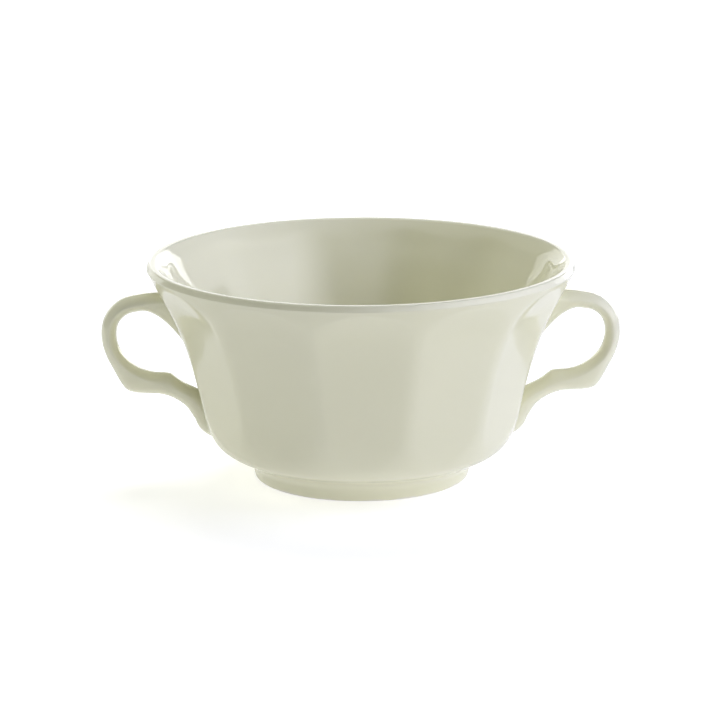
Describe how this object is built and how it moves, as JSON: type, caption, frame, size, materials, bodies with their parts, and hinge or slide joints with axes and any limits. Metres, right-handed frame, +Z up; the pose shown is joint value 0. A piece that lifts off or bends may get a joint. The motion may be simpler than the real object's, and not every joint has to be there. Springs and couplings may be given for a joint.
{
  "type": "consomme cup",
  "caption": "Two-handled soup cup in ivory glazed porcelain: a panelled bowl with arched panel tops, a flared round lip, ear handles with a spur, and a round foot ring.",
  "frame": {"origin": "on the cup's axis, at the level the foot ring stands on", "axes": "+Z up along the cup's axis, +X along the line through both handles, -Y towards the viewer"},
  "size_m": [0.1448, 0.119, 0.0615],
  "materials": {
    "ivory_glaze": "glossy ivory glaze over white porcelain"
  },
  "bodies": {
    "root": {"cup_bowl": "ivory_glaze", "foot_ring": "ivory_glaze", "handle_left": "ivory_glaze", "handle_right": "ivory_glaze"}
  },
  "joints": []
}
